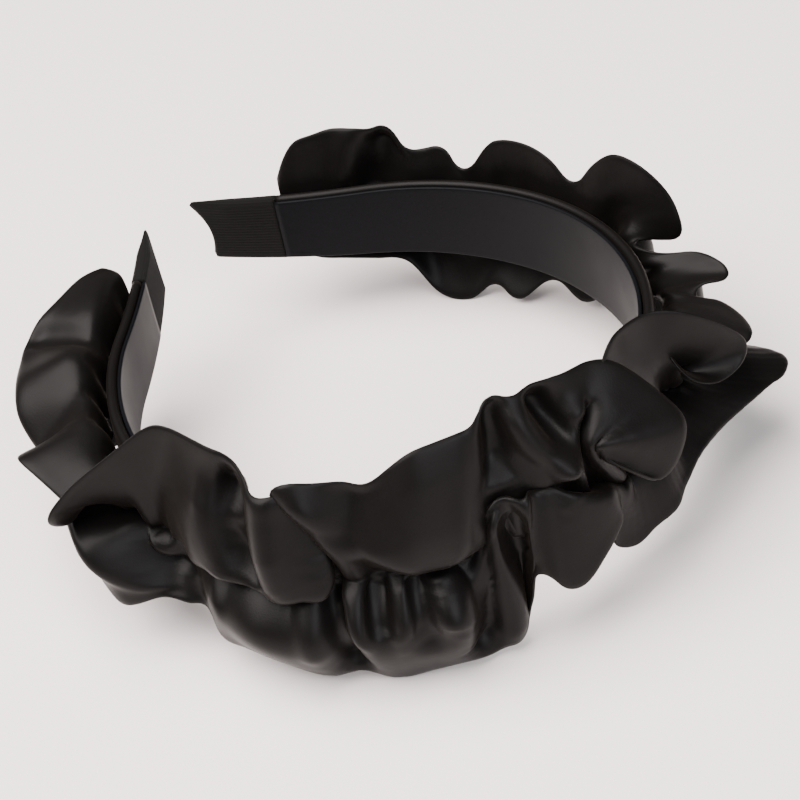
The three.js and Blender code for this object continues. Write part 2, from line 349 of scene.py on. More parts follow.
@dataclass(frozen=True)
class Finish:
    """What the finishes share: a principled shader fed by patterns on Object coordinates, each
    scaled from a real size in millimetres."""

    name: str

    def surface(self, tree: bpy.types.NodeTree, where: bpy.types.NodeSocket) -> tuple[
            dict[str, bpy.types.NodeSocket], dict[str, object]]:
        """Adds the pattern nodes of one finish.

        Args:
            tree: The node tree.
            where: Object coordinates.

        Returns:
            What feeds the shader's sockets, and the values of the rest.
        """
        raise NotImplementedError

    def material(self) -> bpy.types.Material:
        """Builds the node material.

        Returns:
            The material.
        """
        material = bpy.data.materials.new(self.name)
        material.use_nodes = True
        tree = material.node_tree
        tree.nodes.clear()
        where = add_node(tree, "ShaderNodeTexCoord").outputs["Object"]
        shader = add_node(tree, "ShaderNodeBsdfPrincipled", *self.surface(tree, where))
        add_node(tree, "ShaderNodeOutputMaterial", {"Surface": shader.outputs[0]})
        return material


@dataclass(frozen=True)
class Satin(Finish):
    """Black polyester satin, woven with long floating threads and calendered: a broad soft
    gloss on the crests, clouded where handling has dulled it, with a faint grain where the gloss
    breaks up on the threads. The grain is drawn coarser than real threads, so that it shows."""

    name: str = "polyester_satin"
    shade: str = "#060505"
    worn: str = "#0c0b0a"
    roughness: tuple[float, float] = (0.38, 0.46)
    level: float = 0.10
    sheen: float = 0.022
    sheen_spread: float = 0.45
    sheen_shade: str = "#c9b6a8"
    thread: float = 0.45
    grain: float = 0.07
    grain_strength: float = 0.6
    cloud: float = 22.0
    cloud_span: tuple[float, float] = (0.3, 0.7)

    def surface(self, tree: bpy.types.NodeTree, where: bpy.types.NodeSocket) -> tuple[
            dict[str, bpy.types.NodeSocket], dict[str, object]]:
        """Broad clouds shift the shade and the gloss, and fine noise raises the grain.

        Args:
            tree: The node tree.
            where: Object coordinates.

        Returns:
            What feeds the shader's sockets, and the values of the rest.
        """
        cloud = add_node(tree, "ShaderNodeTexNoise", {"Vector": where},
                         {"Scale": 1 / (self.cloud * METRE), "Detail": 3.0, "Roughness": 0.6})
        shade = add_node(tree, "ShaderNodeMix", {"Factor": cloud.outputs["Fac"]},
                         {6: linear(self.shade), 7: linear(self.worn)}, data_type="RGBA")
        spans = zip(("From Min", "From Max", "To Min", "To Max"), self.cloud_span + self.roughness)
        gloss = add_node(tree, "ShaderNodeMapRange", {"Value": cloud.outputs["Fac"]}, dict(spans))
        threads = add_node(tree, "ShaderNodeTexNoise", {"Vector": where},
                           {"Scale": 1 / (self.thread * METRE), "Detail": 2.0, "Roughness": 0.7})
        bump = add_node(tree, "ShaderNodeBump", {"Height": threads.outputs["Fac"]},
                        {"Strength": self.grain_strength, "Distance": self.grain * METRE})
        return ({"Base Color": shade.outputs[2], "Roughness": gloss.outputs[0],
                 "Normal": bump.outputs[0]},
                {"Specular IOR Level": self.level, "Sheen Weight": self.sheen,
                 "Sheen Roughness": self.sheen_spread, "Sheen Tint": linear(self.sheen_shade)})


@dataclass(frozen=True)
class Grosgrain(Finish):
    """Black grosgrain ribbon, woven with thick weft cords: matte, with a dry fibrous surface
    between its ribs and next to no gloss. The ribs themselves are in the sleeves' meshes."""

    name: str = "grosgrain_ribbon"
    shade: str = "#040303"
    # the lighter shade of the raised fibres: a painted highlight on their tops, over the fibres'
    # random mottle
    crest_highlight: str = "#0c0b09"
    roughness: float = 0.85
    level: float = 0.08
    sheen: float = 0.025
    sheen_spread: float = 0.6
    fibre: float = 0.35
    fibre_height: float = 0.1
    fibre_strength: float = 0.6

    def surface(self, tree: bpy.types.NodeTree, where: bpy.types.NodeSocket) -> tuple[
            dict[str, bpy.types.NodeSocket], dict[str, object]]:
        """Fine noise mottles the shade and raises the fibres, and the raised fibres take the
        lighter shade: a painted highlight on their tops.

        Args:
            tree: The node tree.
            where: Object coordinates.

        Returns:
            What feeds the shader's sockets, and the values of the rest.
        """
        fibre = add_node(tree, "ShaderNodeTexNoise", {"Vector": where},
                         {"Scale": 1 / (self.fibre * METRE), "Detail": 3.0, "Roughness": 0.7})
        # the raised fibres get the lighter shade: a painted highlight on the fibre tops, with the
        # random mottle of the noise
        shade = add_node(tree, "ShaderNodeMix", {"Factor": fibre.outputs["Fac"]},
                         {6: linear(self.shade), 7: linear(self.crest_highlight)}, data_type="RGBA")
        bump = add_node(tree, "ShaderNodeBump", {"Height": fibre.outputs["Fac"]},
                        {"Strength": self.fibre_strength, "Distance": self.fibre_height * METRE})
        return ({"Base Color": shade.outputs[2], "Normal": bump.outputs[0]},
                {"Roughness": self.roughness, "Specular IOR Level": self.level,
                 "Sheen Weight": self.sheen, "Sheen Roughness": self.sheen_spread})


@dataclass(frozen=True)
class PaintedBoard(Finish):
    """Matte painted board for the floor: plain and pale, with a roller's faint stipple and no
    gloss."""

    name: str = "matte_painted_board"
    shade: str = "#f3ecea"
    roughness: float = 0.8
    stipple: float = 2.5
    stipple_height: float = 0.1
    stipple_strength: float = 0.1

    def surface(self, tree: bpy.types.NodeTree, where: bpy.types.NodeSocket) -> tuple[
            dict[str, bpy.types.NodeSocket], dict[str, object]]:
        """Noise raises the stipple.

        Args:
            tree: The node tree.
            where: Object coordinates.

        Returns:
            What feeds the shader's sockets, and the values of the rest.
        """
        stipple = add_node(tree, "ShaderNodeTexNoise", {"Vector": where},
                           {"Scale": 1 / (self.stipple * METRE), "Detail": 2.0})
        bump = add_node(tree, "ShaderNodeBump", {"Height": stipple.outputs["Fac"]},
                        {"Strength": self.stipple_strength,
                         "Distance": self.stipple_height * METRE})
        return ({"Normal": bump.outputs[0]},
                {"Base Color": linear(self.shade), "Roughness": self.roughness})


@dataclass
class Swept:
    """A section carried along the hoop, shared by the hoop, its lining and its sleeves."""

    hoop: HoopPlan
    step: float = 1.6
    sleeve_start: float = 187.16
    sleeve_gap: float = 0.3
    sleeve_inner: float = 0.1
    sleeve_outer: float = 4.1
    flat_points: int = 14
    round_points: int = 6
    crowning: float = 0.0

    def section(self, inner: np.ndarray, outer: np.ndarray, half: np.ndarray,
                corner: np.ndarray) -> tuple[np.ndarray, np.ndarray]:
        """A closed strip with rounded corners: four straight sides joined by quarter circles,
        the outer side raised by crowning times (1 - (rise / half) ** 2).

        Args:
            inner: Out of the inner face at each ring.
            outer: Out of the outer face's edge at each ring.
            half: Half width at each ring.
            corner: Corner radius at each ring.

        Returns:
            out and rise, a ring a row.
        """
        turn = np.linspace(0, math.pi / 2, self.round_points)
        wide = np.linspace(-1, 1, self.flat_points)[1:-1]
        inner, outer, half, corner = (each[:, None] for each in (inner, outer, half, corner))
        low, high, flat = inner + corner, outer - corner, half - corner
        outs, rises = [], []
        for quarter, (centre, side) in enumerate(((high, 1), (low, 1), (low, -1), (high, -1))):
            swing = turn + quarter * math.pi / 2
            outs.append(centre + corner * np.cos(swing))
            rises.append(side * flat + corner * np.sin(swing))
            if quarter in (1, 3):
                face, way = (inner, -wide) if quarter == 1 else (outer, wide)
                outs.append(np.repeat(face, len(wide), 1))
                rises.append(way * flat)
        out, rise = np.concatenate(outs, 1), np.concatenate(rises, 1)
        proud = self.crowning * (1 - np.clip(rise / half, -1, 1) ** 2)
        return out + proud * np.clip((out - inner) / (outer - inner), 0, 1), rise

    def places(self, start: float, end: float) -> np.ndarray:
        """Distances along the hoop at even steps, both ends included."""
        return np.linspace(start, end, max(int(round((end - start) / self.step)), 2) + 1)

    def sweep(self, name: str, along: np.ndarray, out: np.ndarray, rise: np.ndarray,
              finish: bpy.types.Material) -> bpy.types.Object:
        """Sets the section's rings along the hoop and closes both ends.

        Args:
            name: The piece's name.
            along: Distances from the crown.
            out: Distances outwards from the inner face, a ring a row.
            rise: Heights above the hoop's middle.
            finish: The piece's material.

        Returns:
            The piece.
        """
        points = self.hoop.place(along, out, rise).reshape(-1, 3)
        return mesh_object(name, points, outward_faces(points, tube_faces(*out.shape)), finish)


@dataclass
class SatinHoop(Swept):
    """The hoop's satin cover, drawn tight and a little crowned outside, with its core inside the
    sleeves."""

    inner: float = 1.3
    outer: float = 3.8
    crowning: float = 0.5
    corner: float = 1.25
    core_inset: float = 1.2
    core_corner: float = 0.3

    def build(self, finish: bpy.types.Material) -> bpy.types.Object:
        """Carries the rounded section from sleeve to sleeve, and a thinner core into each.

        Args:
            finish: The satin.

        Returns:
            The piece.
        """
        shoulder = self.sleeve_start - self.sleeve_gap
        full = self.places(-shoulder, shoulder)
        core = self.places(shoulder, self.hoop.half_length - self.core_inset)
        along = np.concatenate([-core[::-1], full, core])
        thin = np.repeat([1.0, 0.0, 1.0], [len(core), len(full), len(core)])
        half = self.hoop.half_width(along) - thin * self.core_inset
        inner = np.where(thin > 0, self.sleeve_inner + self.core_inset, self.inner)
        outer = np.where(thin > 0, self.sleeve_outer - self.core_inset, self.outer)
        corner = np.where(thin > 0, self.core_corner, self.corner)
        out, rise = self.section(inner, outer, half, corner)
        piece = self.sweep("satin_hoop", along[:, None], out, rise, finish)
        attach(piece, "root")
        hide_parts("band")
        return piece


@dataclass
class SatinLining(Swept):
    """The flat satin strip glued along the inner face, its folded edges soft and a little proud."""

    thickness: float = 1.0
    setback: float = 0.6
    corner: float = 0.48
    flat_points: int = 26

    def build(self, finish: bpy.types.Material) -> bpy.types.Object:
        """Carries the flat section from sleeve to sleeve.

        Args:
            finish: The lining satin.

        Returns:
            The piece.
        """
        end = self.sleeve_start - self.sleeve_gap
        along = self.places(-end, end)
        one = np.ones(len(along))
        half = self.hoop.half_width(along) - self.setback
        out, rise = self.section(0 * one, self.thickness * one, half, self.corner * one)
        piece = self.sweep("satin_lining", along[:, None], out, rise, finish)
        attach(piece, "root")
        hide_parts("lining")
        return piece


@dataclass
class RibbonSleeve(Swept):
    """One ribbed sleeve: a tube of grosgrain turned in at its mouth and sewn at the tip, where its
    upper corner is drawn out to an ear. The ribs run along the hoop."""

    side: Side = Side.RIGHT
    flat_points: int = 90
    round_points: int = 14
    skin_rings: int = 32
    pocket_rings: int = 8
    corner: float = 1.4
    corner_share: float = 0.45
    pocket_corner: float = 0.3
    rib_pitch: float = 0.9
    rib_depth: float = 0.12
    rib_lean: float = 0.2
    wall: float = 0.9
    rounding: float = 1.0
    rounding_run: float = 1.2
    hollow: float = 1.0
    hollow_run: float = 6.0
    ear: float = 4.2
    ear_run: float = 8.0
    ear_foot: float = 0.8
    ear_power: float = 2.5
    ear_pinch: float = 0.75

    def build(self, finish: bpy.types.Material) -> bpy.types.Object:
        """A pocket and a ribbed skin round it. A rib is depth times the cosine of the girth over
        the pitch. The end dips by hollow times (1 - (rise / half) ** 2), and the ear grows with
        the rise to a power, as the skin there pinches flat.

        Args:
            finish: The ribbon.

        Returns:
            The piece.
        """
        end = self.hoop.half_length
        along = np.concatenate([np.linspace(end - self.wall, self.sleeve_start, self.pocket_rings),
                                np.linspace(self.sleeve_start, end, self.skin_rings)])
        skin = np.repeat([0.0, 1.0], [self.pocket_rings, self.skin_rings])
        close = np.clip(1 - (end - along) / self.rounding_run, 0, 1) * skin
        inset = (1 - skin) * self.wall + self.rounding * (1 - np.sqrt(1 - close ** 2))
        half = self.hoop.half_width(along) - inset
        inner, outer = self.sleeve_inner + inset, self.sleeve_outer - inset
        corner = np.where(skin > 0, np.minimum(self.corner, (outer - inner) * self.corner_share),
                          self.pocket_corner)
        out, rise = self.section(inner, outer, half, corner)
        half, skin, to_tip = half[:, None], skin[:, None], along[:, None] - end
        girth = np.cumsum(np.hypot(np.diff(out, axis=1, append=out[:, :1]),
                                   np.diff(rise, axis=1, append=rise[:, :1])), 1)
        ribs = np.round(girth[:, -1:].max() / self.rib_pitch)
        wave = np.cos(2 * math.pi * ribs * girth / girth[:, -1:])
        depth = self.rib_depth * (wave - 1) / 2 * skin
        away = unit(np.stack([out - out.mean(1, keepdims=True), rise * self.rib_lean], -1))
        out, rise = out + depth * away[..., 0], rise + depth * away[..., 1]
        near_end = np.clip((to_tip + self.hollow_run) / self.hollow_run, 0, 1)
        dip = self.hollow * (1 - (rise / half) ** 2) * near_end * skin
        drawn = smooth((to_tip + self.ear_run) / self.ear_run) * skin
        height = np.clip((rise / half + self.ear_foot) / (1 + self.ear_foot), 0, 1)
        drawn = drawn * height ** self.ear_power
        middle = (inner + outer)[:, None] / 2
        out = middle + (out - middle) * (1 - self.ear_pinch * drawn)
        shown = self.side * (along[:, None] - dip + self.ear * drawn)
        name = "ribbon_sleeve_left" if self.side < 0 else "ribbon_sleeve_right"
        piece = self.sweep(name, shown, out, rise, finish)
        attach(piece, "root")
        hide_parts("tip_wrap_left" if self.side < 0 else "tip_wrap_right")
        return piece


# Folds of the upper flap, one row for each crest or valley, from the left tip to the right: where
# its thread line is along the hoop, where its knee is along, out and up, where its hem is along,
# out and up (mm), and how round the knee is, in tenths
UPPER_FOLDS = (
    (-187, -187, 6, 12, -187, 10, 15, 6),
    (-182, -182, 7, 14, -182, 15, 16, 6),
    (-175, -175, 8, 15, -174, 20, 15, 6),
    (-168, -168, 8, 15, -167, 25, 13, 6),
    (-162, -162, 9, 14, -161, 27, 11, 6),
    (-156, -156, 9, 14, -156, 27, 10, 6),
    (-149, -149, 9, 14, -149, 27, 9, 6),
    (-143, -143, 9, 12, -143, 27, 6, 7),
    (-139, -139, 9, 12, -138, 24, 1, 7),
    (-135, -134, 9, 12, -133, 22, 4, 7),
    (-131, -130, 9, 13, -130, 26, 8, 7),
    (-126, -126, 8, 12, -125, 28, 13, 8),
    (-121, -120, 9, 11, -119, 25, 11, 8),
    (-117, -115, 10, 10, -113, 22, 7, 8),
    (-114, -112, 11, 9, -110, 23, 5, 8),
    (-111, -109, 13, 8, -107, 30, 12, 8),
    (-107, -106, 13, 9, -106, 23, 19, 8),
    (-104, -103, 9, 9, -102, 12, 26, 8),
    (-100, -100, 6, 7, -98, 4, 31, 8),
    (-95, -94, 6, 6, -94, 1, 31, 8),
    (-90, -88, 9, 4, -87, 1, 31, 6),
    (-85, -83, 11, 3, -80, 2, 31, 5),
    (-80, -78, 14, 2, -77, 2, 30, 4),
    (-76, -74, 15, 1, -74, 2, 28, 4),
    (-72, -69, 17, 0, -70, 5, 26, 4),
    (-69, -66, 17, 0, -67, 7, 25, 4),
    (-66, -63, 17, 0, -64, 8, 26, 5),
    (-62, -59, 16, 0, -60, 7, 24, 6),
    (-58, -55, 13, 0, -57, 5, 20, 8),
    (-55, -55, 7, 8, -57, 5, 19, 8),
    (-53, -60, 10, 21, -65, 8, 26, 5),
    (-50, -55, 11, 18, -57, 6, 27, 4),
    (-47, -50, 11, 13, -50, 5, 26, 4),
    (-43, -46, 11, 10, -45, 5, 24, 4),
    (-40, -40, 11, 6, -39, 3, 28, 4),
    (-36, -36, 10, 4, -34, 2, 31, 5),
    (-31, -31, 10, 3, -28, 1, 31, 5),
    (-27, -28, 10, 6, -23, 1, 31, 7),
    (-23, -25, 8, 9, -20, 1, 31, 9),
    (-19, -20, 6, 10, -18, 1, 33, 9),
    (-16, -17, 5, 12, -15, 1, 35, 9),
    (-13, -14, 6, 13, -12, 1, 35, 8),
    (-10, -11, 7, 14, -9, 1, 34, 6),
    (-6, -7, 8, 13, -5, 1, 34, 5),
    (-2, -3, 8, 13, 0, 1, 33, 5),
    (2, 0, 9, 13, 6, 2, 32, 5),
    (5, 1, 9, 15, 12, 3, 31, 5),
    (8, 2, 10, 17, 17, 7, 28, 5),
    (11, 3, 10, 17, 20, 15, 19, 5),
    (14, 3, 11, 16, 19, 22, 12, 5),
    (17, 4, 11, 14, 13, 20, 2, 5),
    (20, 5, 10, 12, 7, 18, 9, 6),
    (23, 9, 7, 9, 4, 12, 14, 9),
    (25, 14, 6, 9, 8, 7, 19, 9),
    (27, 19, 6, 10, 13, 5, 28, 8),
    (29, 22, 6, 12, 18, 5, 33, 7),
    (32, 26, 6, 12, 25, 5, 32, 6),
    (35, 30, 7, 13, 31, 8, 31, 5),
    (38, 33, 9, 13, 34, 15, 29, 5),
    (41, 35, 10, 12, 38, 22, 22, 5),
    (44, 36, 11, 11, 41, 27, 12, 5),
    (47, 37, 10, 9, 35, 22, 8, 6),
    (50, 40, 8, 9, 31, 15, 13, 7),
    (53, 45, 6, 8, 38, 9, 18, 9),
    (56, 50, 7, 8, 43, 24, 10, 8),
    (59, 54, 9, 8, 46, 27, 10, 7),
    (62, 58, 9, 8, 50, 26, 9, 6),
    (65, 61, 9, 7, 55, 23, 8, 7),
    (68, 64, 8, 7, 60, 19, 7, 8),
    (71, 67, 7, 6, 63, 14, 7, 8),
    (74, 69, 8, 5, 64, 20, 8, 7),
    (77, 72, 9, 5, 66, 24, 7, 6),
    (80, 75, 9, 5, 69, 23, 9, 5),
    (83, 78, 8, 6, 74, 19, 9, 6),
    (86, 81, 7, 6, 78, 11, 8, 8),
    (89, 84, 7, 7, 84, 8, 8, 8),
    (91, 86, 7, 7, 86, 10, 8, 8),
    (93, 88, 8, 9, 80, 17, 8, 6),
    (95, 89, 9, 11, 79, 18, 14, 5),
    (97, 91, 9, 12, 82, 18, 20, 5),
    (99, 94, 9, 12, 87, 15, 26, 5),
    (101, 97, 7, 12, 94, 12, 28, 7),
    (104, 101, 6, 12, 100, 10, 23, 8),
    (108, 107, 6, 9, 106, 8, 15, 9),
    (113, 113, 6, 10, 112, 8, 20, 9),
    (120, 120, 7, 10, 119, 9, 22, 9),
    (126, 126, 7, 10, 126, 9, 22, 9),
    (131, 130, 6, 10, 130, 8, 20, 9),
    (135, 135, 6, 8, 136, 7, 12, 9),
    (138, 138, 6, 9, 139, 8, 14, 9),
    (142, 142, 7, 10, 142, 9, 18, 9),
    (147, 147, 6, 10, 147, 9, 17, 9),
    (151, 151, 6, 10, 151, 8, 18, 9),
    (155, 155, 7, 11, 155, 9, 25, 8),
    (158, 158, 6, 10, 158, 7, 25, 8),
    (162, 162, 7, 11, 163, 9, 25, 8),
    (168, 168, 7, 11, 169, 10, 25, 8),
    (174, 174, 7, 11, 175, 9, 24, 8),
    (180, 180, 6, 11, 180, 8, 23, 8),
    (184, 184, 6, 10, 184, 8, 18, 8),
    (187, 187, 6, 9, 187, 8, 11, 8),
)
# Folds of the lower flap in the same columns, with knee and hem measured downwards
LOWER_FOLDS = (
    (-187, -192, -7, 8, -186, 7, 12, 10),
    (-178, -178, 21, 1, -176, 12, 15, 10),
    (-168, -167, 17, 11, -166, 8, 26, 10),
    (-158, -156, 20, 5, -156, 13, 22, 10),
    (-148, -147, 14, 13, -146, 8, 31, 10),
    (-138, -137, 20, 8, -136, 13, 24, 10),
    (-128, -127, 17, 12, -126, 10, 28, 10),
    (-119, -119, 21, 0, -116, 18, 18, 10),
    (-111, -117, 20, -5, -108, 21, 10, 10),
    (-103, -104, 21, -2, -101, 21, 15, 10),
    (-95, -96, 9, 8, -95, 14, 13, 10),
    (-90, -91, 8, 9, -90, 11, 15, 10),
    (-86, -88, 7, 9, -88, 8, 17, 9),
    (-83, -81, 14, 7, -83, 12, 21, 5),
    (-78, -78, 15, 10, -78, 11, 23, 8),
    (-70, -70, 18, 11, -69, 11, 25, 10),
    (-62, -61, 17, 13, -60, 11, 28, 10),
    (-54, -54, 17, 11, -53, 10, 27, 10),
    (-46, -46, 16, 13, -46, 9, 31, 10),
    (-38, -38, 16, 12, -38, 10, 29, 10),
    (-31, -31, 17, 11, -31, 11, 28, 10),
    (-27, -27, 15, 9, -27, 10, 29, 10),
    (-24, -22, 8, -9, -23, 9, 29, 6),
    (-20, -20, 7, -12, -21, 10, 28, 5),
    (-17, -17, 7, -14, -18, 8, 28, 5),
    (-14, -15, 8, -13, -16, 8, 22, 5),
    (-11, -13, 8, -13, -15, 11, 11, 5),
    (-8, -11, 8, -12, -14, 14, 7, 5),
    (-5, -8, 9, -12, -12, 16, 11, 5),
    (-2, -6, 11, -10, -8, 17, 14, 5),
    (1, -3, 12, -8, -2, 17, 9, 5),
    (4, 1, 14, -5, 3, 16, 5, 6),
    (7, 5, 13, -3, 5, 14, 3, 7),
    (9, 8, 10, 2, 4, 11, 14, 8),
    (12, 11, 10, 4, 9, 12, 19, 9),
    (15, 14, 11, 3, 14, 14, 17, 10),
    (19, 18, 12, 3, 18, 17, 14, 10),
    (25, 24, 12, 3, 23, 17, 11, 10),
    (31, 30, 12, 3, 30, 18, 8, 10),
    (38, 37, 14, 3, 39, 21, 9, 10),
    (45, 45, 17, 4, 47, 29, 8, 10),
    (49, 49, 18, 4, 51, 33, 9, 10),
    (54, 53, 19, 4, 55, 34, 9, 10),
    (58, 57, 18, 4, 58, 30, 9, 10),
    (62, 61, 17, 5, 61, 24, 11, 10),
    (67, 66, 15, 8, 66, 17, 18, 10),
    (80, 80, 21, 3, 80, 16, 20, 10),
    (90, 90, 18, 10, 90, 10, 26, 10),
    (100, 100, 21, 4, 100, 15, 21, 10),
    (110, 110, 17, 10, 110, 10, 27, 10),
    (119, 119, 20, 7, 119, 11, 23, 10),
    (126, 125, 15, 13, 127, 6, 29, 10),
    (133, 132, 17, 10, 134, 8, 26, 10),
    (140, 139, 13, 14, 141, 6, 31, 10),
    (148, 148, 15, 13, 149, 6, 29, 10),
    (156, 156, 20, 6, 156, 8, 19, 10),
    (164, 164, 21, 5, 164, 9, 18, 10),
    (172, 172, 21, 4, 172, 9, 17, 10),
    (180, 180, 21, 4, 180, 9, 16, 10),
    (187, 200, 4, 8, 185, 7, 12, 10),
)
# Ridges and hollows between stitches and hem, where a fold runs along a line of the cloth: the
# line's ends as stitch (mm) and share of the way to the hem, its radius (mm), and how far its
# middle moves along, out and up (mm)
UPPER_CREASES = (
    (-164, 0.90, -158, 0.40, 3, 0, 0, -3),
    (-150, 0.60, -148, 0.90, 6, 0, 0, 2),
    (-88, 0.40, -84, 0.60, 5, 0, 2, 0),
    (-74, 0.38, -79, 0.74, 4.5, 0, -9, 0),
    (-70, 0.42, -69, 0.95, 2.3, 0, 3.5, 0),
    (-61, 0.35, -60, 0.80, 4, 0, -3, 0),
    (-47, 0.55, -45, 0.90, 4, 0, -4, 0),
    (-34, 0.45, -34, 0.75, 8, 0, 3, 0),
    (-16, 0.40, -14, 0.90, 3, 0, -5, 0),
    (-11, 0.86, -3, 0.45, 2.4, 0, 4, 0),
    (-4, 0.84, -1, 0.66, 3.2, 0, -6, 0),
    (-3, 0.45, 2, 0.72, 2.4, 0, 3.5, 0),
    (6, 0.45, 6, 0.65, 2.5, 0, -3, 0),
    (168, 0.45, 164, 0.85, 4, 0, -2, 0),
    (160, 0.30, 157, 0.80, 4, 0, 4, 0),
)
LOWER_CREASES = (
    (-108, 0.40, -97, 0.78, 3, 0, 3, 0),
    (-104, 0.12, -98, 0.45, 2.5, 0, -5, 0),
    (-98, 0.05, -98, 0.35, 1.6, 0, 3, 0),
    (-95, 0.05, -95, 0.35, 1.4, 0, 3, 0),
    (-92, 0.02, -93, 0.45, 3, 0, -5, 0),
    (-59, 0.15, -60, 0.60, 2.5, 0, 1.5, 0),
    (-55, 0.15, -54, 0.80, 3, 0, -6.5, 0),
    (-51, 0.08, -51, 0.45, 2.2, 0, 2, 0),
    (-47, 0.04, -46, 0.38, 2, 0, -3, 0),
    (-43, 0.05, -43, 0.40, 2, 0, 1.5, 0),
    (-38, 0.04, -37, 0.55, 2.4, 0, -3.5, 0),
    (-34, 0.06, -33, 0.45, 1.8, 0, 2.5, 0),
    (-31, 0.05, -30, 0.45, 1.6, 0, -3, 0),
    (-26, 0.12, -27, 0.80, 3, 0, -5, 0),
    (-21.5, 0.35, -20.5, 0.90, 2.2, 0, 3, 0),
    (-17, 0.45, -16, 0.88, 2.4, 0, -2.5, 0),
    (-13, 0.42, -12, 0.82, 2.4, 0, 2.5, 0),
)


@dataclass(frozen=True)
class FoldTable:
    """The crests and valleys of one flap, read smoothly between its rows, and its creases."""

    which: Flap
    rows: tuple[tuple[float, ...], ...]
    creases: tuple[tuple[float, ...], ...]
    fineness: int = 24
    crease_fade: float = 0.12

    def read(self, stitch: np.ndarray) -> np.ndarray:
        """The table's columns, one row for each place along the stitches."""
        rows = np.array(self.rows, float)
        return between_rows(rows, np.interp(stitch, rows[:, 0], np.arange(len(rows))))

    def ribs(self, stitch: np.ndarray, points: int, root_out: float) -> np.ndarray:
        """Ribs from stitches to hem: one cubic to the knee and one on to the hem. They share a
        slope at the knee, half the way from stitches to hem times its roundness, and run out
        without a bend at their other ends, where a slope is 1.5 times the way less half the
        slope at the knee. Each rib is then read at even steps of its length.

        Args:
            stitch: Places along the thread line.
            points: Points a rib.
            root_out: How far out the stitches are.

        Returns:
            along, out and rise of each point of each rib, the rise downwards in a lower flap.
        """
        columns = self.read(stitch)
        zero = np.zeros(len(stitch))
        root = np.stack([stitch, zero + root_out, zero], -1)[:, None]
        knee, hem = columns[:, None, 1:4], columns[:, None, 4:7]
        tenths = columns[:, None, 7:8]
        turn = (hem - root) * tenths / 20
        way = np.linspace(0, 1, self.fineness)[None, :, None]
        near = hermite(root, 1.5 * (knee - root) - turn / 2, knee, turn, way)
        far = hermite(knee, turn, hem, 1.5 * (hem - knee) - turn / 2, way[:, 1:])
        path = np.concatenate([near, far], 1)
        run = np.cumsum(np.linalg.norm(np.diff(path, axis=1), axis=-1), 1)
        run = np.concatenate([zero[:, None], run / run[:, -1:]], 1)
        wanted = np.linspace(0, 1, points)
        low = np.sum(run[:, None] <= wanted[None, :, None], -1) - 1
        low = np.clip(low, 0, run.shape[1] - 2)
        start, end = np.take_along_axis(run, low, 1), np.take_along_axis(run, low + 1, 1)
        share = ((wanted - start) / (end - start))[..., None]
        return (np.take_along_axis(path, low[..., None], 1) * (1 - share)
                + np.take_along_axis(path, low[..., None] + 1, 1) * share)

    def shape(self, stitch: np.ndarray, points: int, root_out: float, width: float) -> np.ndarray:
        """Ribs the right way up, with creases: each moves the cloth by its move times
        exp(-(distance from its line / radius) ** 2), fading towards the stitches.

        Args:
            stitch: Places along the thread line.
            points: Points a rib.
            root_out: How far out the stitches are.
            width: The flap's width.

        Returns:
            along, out and rise of each point of each rib.
        """
        ribs = self.ribs(stitch, points, root_out)
        ribs[..., 2] *= self.which.value
        across = np.linspace(0, 1, points)
        for start, low, end, high, radius, *move in self.creases:
            line = np.array([end - start, (high - low) * width])
            apart = np.stack(np.meshgrid(stitch - start, (across - low) * width, indexing="ij"), -1)
            share = np.clip(apart @ line / (line @ line), 0, 1)[..., None]
            near = np.exp(-np.sum((apart - share * line) ** 2, -1) / radius ** 2)
            near *= smooth(across / self.crease_fade)[None]
            ribs += near[..., None] * np.array(move)
        return ribs


def resample(grid: np.ndarray, rows: int, columns: int) -> np.ndarray:
    """Reads a grid of points at a new count each way, by cubics.

    Args:
        grid: Points, two grid axes and one of coordinates.
        rows: New count along the first axis.
        columns: New count along the second.

    Returns:
        The finer grid.
    """
    for axis, count in ((0, rows), (1, columns)):
        held = np.moveaxis(grid, axis, 0)
        grid = np.moveaxis(between_rows(held, np.linspace(0, len(held) - 1, count)), 0, axis)
    return grid


